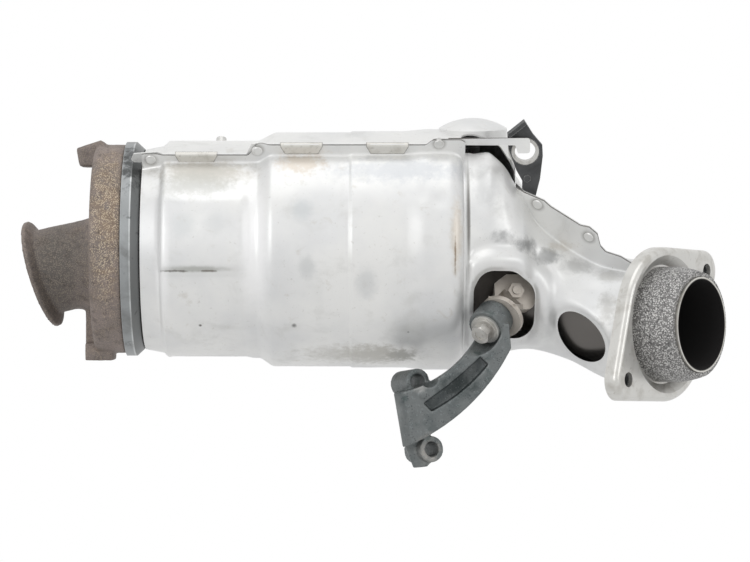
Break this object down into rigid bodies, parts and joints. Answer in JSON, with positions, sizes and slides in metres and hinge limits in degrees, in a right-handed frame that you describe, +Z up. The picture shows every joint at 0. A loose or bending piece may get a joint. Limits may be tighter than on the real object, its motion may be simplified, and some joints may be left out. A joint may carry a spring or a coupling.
{
  "type": "diesel particulate filter",
  "caption": "Diesel particulate filter can with an inlet casting, pressed heat shields, a bent outlet pipe with a two-bolt flange and gasket, and a cast support arm.",
  "frame": {"origin": "centre of the inlet flange's outer face", "axes": "+X along the can's axis towards the outlet, +Z up, -Y towards the side with the support arm and the outlet's window"},
  "size_m": [0.5245, 0.1859, 0.2583],
  "materials": {
    "cast_iron": "rough, with light rust",
    "heat_shield": "matt aluminised sheet, stained",
    "steel": "satin",
    "dark_steel": "dull, dark",
    "dusty_steel": "dusty",
    "cast_aluminium": "sand cast, dull",
    "graphite": "porous",
    "ceramic": "matt",
    "mat_fibre": "fibrous"
  },
  "bodies": {
    "root": {"arm_bolt": "steel", "arm_washer": "steel", "body_rivets": "steel", "body_shield_front": "heat_shield", "can_shell": "steel", "donut_gasket": "graphite", "filter_brick": "ceramic", "filter_mat": "mat_fibre", "flange_nuts": "dark_steel", "hanger_nut": "dusty_steel", "hanger_plate": "dusty_steel", "hanger_stud": "dusty_steel", "hanger_weld_nut": "dusty_steel", "inlet_casting": "cast_iron", "joint_ring": "steel", "outlet_cone": "steel", "outlet_flange": "steel", "outlet_pipe": "steel", "outlet_rivets": "steel", "outlet_shield_front": "heat_shield", "oxidation_brick": "ceramic", "oxidation_mat": "mat_fibre", "pressure_tap_front": "steel", "pressure_tap_rear": "steel", "rear_shield": "heat_shield", "shield_strip": "heat_shield", "stay_collar": "steel", "stay_plate": "dark_steel", "support_arm": "cast_aluminium", "temp_sensor_boss": "steel"}
  },
  "joints": []
}
